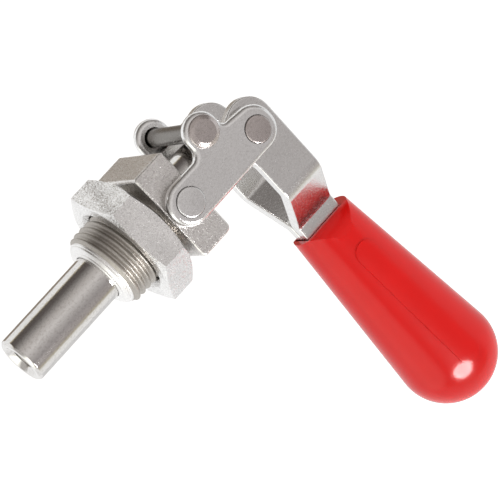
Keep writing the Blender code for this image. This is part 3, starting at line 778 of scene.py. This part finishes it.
def handle_outline():
    """Side view: ear, crank arm with a stop heel, and the shank down into the grip."""
    ear_right = HANDLE_PIVOT.x + EAR_RIGHT_EDGE
    ear_corner = EAR_RADIUS * (math.tan((math.radians(90) + EAR_SLOPE) / 2) - 1)
    ear_top = HANDLE_PIVOT.z + EAR_TOP + ear_corner
    neck = HANDLE_PIVOT.x - NECK_FROM_PIVOT
    heel = STOP_PIN.z - STOP_PIN_RADIUS - GAP
    arm_end = CROSS_PIN.x - ARM_EYE_RADIUS
    arm_low = CROSS_PIN.z - ARM_EYE_RADIUS
    right = HANDLE_PIVOT.x + SHANK_RIGHT
    left = HANDLE_PIVOT.x + SHANK_LEFT
    bottom = HANDLE_PIVOT.z + SHANK_END
    return eased([
        (right, bottom, SHANK_END_ROUNDING),
        (right, HANDLE_PIVOT.z + GRIP_TOP, 0),
        (ear_right, ear_top, EAR_RADIUS),
        (neck, ear_top - (ear_right - neck) * math.tan(EAR_SLOPE), NECK_FILLET),
        (arm_end + HEEL_LENGTH, heel, HEEL_CORNER),
        (arm_end, heel, HEEL_ROUNDING),
        (arm_end, arm_low, ARM_EYE_RADIUS),
        (left, arm_low, ARM_FILLET),
        (left, bottom, SHANK_END_ROUNDING),
    ], closed=True, step=6)


def bent_section(steps=14):
    """Middle line of the right plate in end view, as (distance from the middle plane, height)."""
    ear = (EAR_OUTER + EAR_INNER) / 2
    shank = SHANK_OUTER - PLATE_THICKNESS / 2
    upper, lower = UPPER_BEND_RADIUS, LOWER_BEND_RADIUS
    radii = upper + lower
    slant = (ear - shank - radii * (1 - math.cos(BEND_ANGLE))) / math.sin(BEND_ANGLE)
    end = GRIP_TOP + SHANK_SHOWN
    start = end + radii * math.sin(BEND_ANGLE) + slant * math.cos(BEND_ANGLE)
    turns = [BEND_ANGLE * k / steps for k in range(steps + 1)]
    out = [(ear - upper * (1 - math.cos(t)), start - upper * math.sin(t)) for t in turns]
    back = [(shank + lower * (1 - math.cos(t)), end + lower * math.sin(t)) for t in reversed(turns)]
    return [(ear, 20 * MM), *out, *back, (shank, -60 * MM)]


def make_handle_plate(side, steel):
    """A strip bent to the S-shaped section and cut to the side outline."""
    name = f"handle_plate_{SIDE_NAMES[side]}"
    shape = bmesh.new()
    spots = [(-5 * MM, side * y, HANDLE_PIVOT.z + z) for y, z in bent_section()]
    line = [shape.verts.new(spot) for spot in spots]
    edges = [shape.edges.new(pair) for pair in zip(line, line[1:])]
    grown = bmesh.ops.extrude_edge_only(shape, edges=edges)["geom"]
    moved = [v for v in grown if isinstance(v, bmesh.types.BMVert)]
    bmesh.ops.translate(shape, verts=moved, vec=(50 * MM, 0, 0))
    strip = helper(name, to_mesh(name, shape))
    thick = strip.modifiers.new("thickness", "SOLIDIFY")
    thick.thickness = PLATE_THICKNESS
    thick.offset = 0
    thick.use_even_offset = True
    holes = [
        circle(HANDLE_PIVOT.x, HANDLE_PIVOT.z, HANDLE_RIVET_RADIUS + PLATE_HOLE_GAP),
        circle(CROSS_PIN.x, CROSS_PIN.z, CROSS_PIN_RADIUS + PLATE_HOLE_GAP),
    ]
    blank = slab("blank", handle_outline(), holes, -2 * REACH, 2 * REACH)
    mesh = cut(with_modifiers(strip), [("INTERSECT", blank)])
    mesh = bevelled(mesh, PLATE_EDGE, 4, 40)
    new_piece(f"lever_plate_{SIDE_NAMES[side]}", smoothed(mesh), steel, "lever", name)


def grip_profile(raise_by=0.0):
    """Cone that runs into a ball end, as (height, radius) from just above the mouth down."""
    radius = GRIP_END_RADIUS + raise_by
    top = GRIP_TOP_RADIUS + raise_by - GRIP_SPARE * math.tan(GRIP_TAPER)
    sweep = math.radians(90) + GRIP_TAPER
    rows, cone_rows = 26, 16
    ball = []
    for k in range(rows):
        turn = GRIP_TAPER - sweep * k / rows
        ball.append((radius * math.sin(turn) - GRIP_BALL, radius * math.cos(turn)))
    start, finish = Vector((GRIP_SPARE, top)), Vector(ball[0])
    cone = [tuple(start.lerp(finish, k / cone_rows)) for k in range(1, cone_rows)]
    return [(GRIP_SPARE, 0), (GRIP_SPARE, top), *cone, *ball, (-GRIP_BALL - radius, 0)]


def leaning(mesh):
    """The mesh put at the grip's mouth, with the grip's lean."""
    mesh.transform(Matrix.Translation(MOUTH) @ Matrix.Rotation(-GRIP_LEAN, 4, "Y"))
    return mesh


def shoulder_arch(rows=16):
    """End view of the mouth, as (y, z): rounded on both sides from the lip down to the cone."""
    along = Vector((math.sin(GRIP_TAPER), -math.cos(GRIP_TAPER)))
    inward = Vector((-math.cos(GRIP_TAPER), -math.sin(GRIP_TAPER)))
    depth = (GRIP_TOP_RADIUS - LIP) * math.cos(GRIP_TAPER)
    run = math.sqrt(2 * SHOULDER_RADIUS * depth - depth**2)
    foot = Vector((LIP, 0)) + along * run - inward * depth
    sweep = math.asin(run / SHOULDER_RADIUS)
    right = []
    for k in range(rows + 1):
        turn = sweep * (1 - k / rows)
        back = along * math.sin(turn) - inward * (1 - math.cos(turn))
        right.append(foot - back * SHOULDER_RADIUS)
    right = right + [Vector((40 * MM, right[-1].y)), Vector((40 * MM, -70 * MM))]
    both = right + [Vector((-p.x, p.y)) for p in reversed(right)]
    return [p + Vector((0, MOUTH.z)) for p in both]


def make_grip(red):
    """Turned teardrop with rounded shoulders, a slot for the plates and an oval pad on each side."""
    grip = leaning(revolved("grip", grip_profile(), segments=160))
    half = PAD_HALF_WIDTH
    oval = eased([
        (-half, PAD_BOTTOM, half),
        (half, PAD_BOTTOM, half),
        (half, PAD_TOP, half),
        (-half, PAD_TOP, half),
    ], closed=True, step=8)
    pad = leaning(revolved("pad", grip_profile(PAD_RAISE), segments=160))
    pad = cut(pad, [("INTERSECT", leaning(slab("oval", oval, [], -30 * MM, 30 * MM)))])
    pad = bevelled(pad, PAD_EDGE, 3, 40)
    arch = slab("arch", shoulder_arch(), [], -10 * MM, 60 * MM, "end")
    low = (SLOT_MIDDLE - SLOT_HALF_WIDTH, -SLOT_HALF_DEPTH, SLOT_BOTTOM)
    high = (SLOT_MIDDLE + SLOT_HALF_WIDTH, SLOT_HALF_DEPTH, 0)
    mesh = cut(grip, [
        ("UNION", pad),
        ("INTERSECT", arch),
        ("DIFFERENCE", block_box("slot", low, high)),
    ])
    mesh = bevelled(mesh, GRIP_EDGE, 2, 25)
    new_piece("handle_grip", smoothed(mesh, 35), red, "lever", "grip")


def make_pieces():
    zinc, cast = "zinc_plated_steel", "plated_casting"
    satin, polished = (0.22, 0.28), (0.09, 0.12)
    link = metal(zinc, (0.95, 0.95, 0.95), (0.76, 0.755, 0.75), satin)
    plate = metal(zinc, (0.86, 0.855, 0.85), (0.68, 0.67, 0.66), satin)
    worn = metal(zinc, (0.63, 0.575, 0.56), (0.46, 0.42, 0.4), (0.24, 0.3))
    # The stop pin's shaft is darkened partly for wear and partly as painted shade, for the shadow it
    # lies in between the link plates
    shaft_painted_shade = metal(zinc, (0.22, 0.205, 0.19), (0.15, 0.14, 0.13), (0.26, 0.32), height=0.01 * MM)
    nut = metal(
        cast, (1.0, 0.995, 0.99), (0.45, 0.44, 0.43), (0.26, 0.32),
        grain=0.18 * MM, height=0.015 * MM, pits=0.5, tilt=0.42,
    )
    block = metal(
        cast, (0.94, 0.92, 0.9), (0.38, 0.365, 0.35), (0.26, 0.32),
        grain=0.18 * MM, height=0.02 * MM, pits=0.5, tilt=0.24,
    )
    # The nose and the thread are one plated casting in two copies: the nose's copy is painted
    # lighter, a painted highlight for the bright band it reflects, and the thread's copy is painted
    # darker, as painted shade on its turns
    nose = metal(cast, (0.98, 0.975, 0.97), (0.8, 0.79, 0.78), (0.36, 0.42), height=0.01 * MM)
    thread = metal(cast, (0.52, 0.49, 0.455), (0.38, 0.36, 0.33), (0.42, 0.48), height=0.01 * MM)
    rod = metal(
        "ground_steel", (0.8, 0.785, 0.77), (0.62, 0.6, 0.58), polished,
        grain=0.35 * MM, height=0.013 * MM,
    )
    red = plastic("red_plastic")
    make_block(block)
    make_barrel(thread, nose)
    make_nut(nut)
    make_plunger(rod)
    make_rivets(link, worn)
    make_pins(link, worn, shaft_painted_shade)
    for side in (LEFT, RIGHT):
        make_link(side, link)
        make_handle_plate(side, plate)
    make_grip(red)


def make_floor():
    """A plain pale floor well below the clamp, kept out of its mirror images."""
    mesh = block_box("floor", (-1.5, -1.5, -0.31), (1.5, 2.5, -0.30))
    floor = helper("floor", mesh)
    pale = bpy.data.materials.new("pale_floor")
    pale.use_nodes = True
    shader = pale.node_tree.nodes["Principled BSDF"]
    shader.inputs["Base Color"].default_value = (0.9, 0.9, 0.9, 1)
    shader.inputs["Roughness"].default_value = 0.9
    shader.inputs["Emission Color"].default_value = (1, 1, 1, 1)
    shader.inputs["Emission Strength"].default_value = 0.62
    mesh.materials.append(pale)
    floor.visible_glossy = False
    floor.visible_shadow = False


def make_world():
    """A white background, and in the mirror images a studio in bands round the clamp's long axis.

    Three patches lie over the bands: one beyond the plunger's tip (low), one beyond the lever, darker
    in front (far), and a white one behind the tip.
    """
    world = bpy.data.worlds.new("studio")
    bpy.context.scene.world = world
    world.use_nodes = True
    tree = world.node_tree
    tree.nodes.clear()
    nodes = Nodes(tree)
    way = nodes.new("ShaderNodeTexCoord").outputs["Generated"]
    split = nodes.new("ShaderNodeSeparateXYZ", {"Vector": way})
    x, y, z = (split.outputs[letter] for letter in "XYZ")

    def math_node(operation, first, second):
        inputs = {0: first, 1: second}
        return nodes.new("ShaderNodeMath", inputs, operation=operation).outputs[0]

    angle = math_node("ARCTAN2", z, math_node("MULTIPLY", y, -1.0))
    share = nodes.spread(angle, 0.0, 1.0, -math.pi, math.pi)
    ramp = nodes.new("ShaderNodeValToRGB", {"Fac": share})
    elements = ramp.color_ramp.elements
    while len(elements) < len(SKY):
        elements.new(0.5)
    for element, (degrees, *colour) in zip(elements, SKY):
        element.position = (degrees + 180) / 360
        element.color = (*colour, 1)

    low = nodes.mix(nodes.spread(z, 0, 1, -0.05, 0.2), (1.6, 1.6, 1.5), (0.5, 0.48, 0.46))
    far = nodes.mix(nodes.spread(y, 0, 1, 0.05, 0.35), (0.24, 0.22, 0.21), (1.1, 1.1, 1.1))
    far = nodes.mix(nodes.spread(z, 0, 1, -0.1, 0.15), (0.8, 0.8, 0.8), far)
    sky = nodes.mix(nodes.spread(x, 1, 0, -0.86, -0.74), ramp.outputs["Color"], low)
    sky = nodes.mix(nodes.spread(x, 0, 1, 0.6, 0.8), sky, far)
    left, behind = nodes.spread(x, 1, 0, -0.12, 0.12), nodes.spread(y, 0, 1, 0.2, 0.5)
    sky = nodes.mix(math_node("MULTIPLY", left, behind), sky, (0.98, 0.98, 0.98))

    light = nodes.new("ShaderNodeBackground", {"Color": sky, "Strength": 1.0})
    plain = nodes.new("ShaderNodeBackground", {"Color": (1, 1, 1, 1), "Strength": 1.0})
    seen = nodes.new("ShaderNodeLightPath").outputs["Is Camera Ray"]
    both = nodes.new("ShaderNodeMixShader", {0: seen, 1: light.outputs[0], 2: plain.outputs[0]})
    out = nodes.new("ShaderNodeOutputWorld")
    tree.links.new(both.outputs[0], out.inputs["Surface"])


def make_light(name, way, distance, size, power, shines, only=None):
    """An area lamp aimed at the grip, for highlights or the soft fill, on all pieces or only one."""
    data = bpy.data.lights.new(name, "AREA")
    data.shape = "ELLIPSE"
    data.size, data.size_y = size
    data.energy = power
    lamp = bpy.data.objects.new(name, data)
    bpy.context.scene.collection.objects.link(lamp)
    direction = Vector(way).normalized()
    lamp.location = GRIP_MIDDLE + direction * distance
    lamp.rotation_euler = direction.to_track_quat("Z", "Y").to_euler()
    lamp.visible_camera = False
    lamp.visible_glossy = shines
    lamp.visible_diffuse = not shines
    if only:
        lit = bpy.data.collections.new(name + "_lit")
        lit.objects.link(bpy.data.objects[only])
        lamp.light_linking.receiver_collection = lit


def make_camera():
    data = bpy.data.cameras.new("camera")
    data.sensor_width = 36
    data.lens = CAMERA_LENS
    data.clip_start, data.clip_end = 0.01, 10
    camera = bpy.data.objects.new("camera", data)
    bpy.context.scene.collection.objects.link(camera)
    turn = Matrix((CAMERA_RIGHT, -CAMERA_DOWN, -CAMERA_AWAY)).transposed()
    camera.rotation_mode = "QUATERNION"
    camera.rotation_quaternion = turn.to_quaternion().normalized()
    camera.location = CAMERA_PLACE
    bpy.context.scene.camera = camera


def make_stage():
    make_floor()
    make_world()
    small, large = (0.13, 0.13), (0.5, 0.5)
    make_light("softbox", FRONT_LOW, 0.3, small, 0.6, shines=True)
    make_light("spark", FRONT_LOW, 0.3, (0.19, 0.165), 2.7, shines=True, only="handle_grip")
    make_light("fill_front", FRONT_LOW, 0.3, small, 0.4, shines=False)
    make_light("fill_above", (-0.2, -0.5, 0.8), 0.5, large, 1.8, shines=False)
    make_light("fill_right", (0.9, -0.3, 0.1), 0.5, large, 0.9, shines=False)
    make_camera()
    settings = bpy.context.scene.view_settings
    settings.view_transform = "Standard"
    settings.look = "None"


make_pieces()
make_stage()
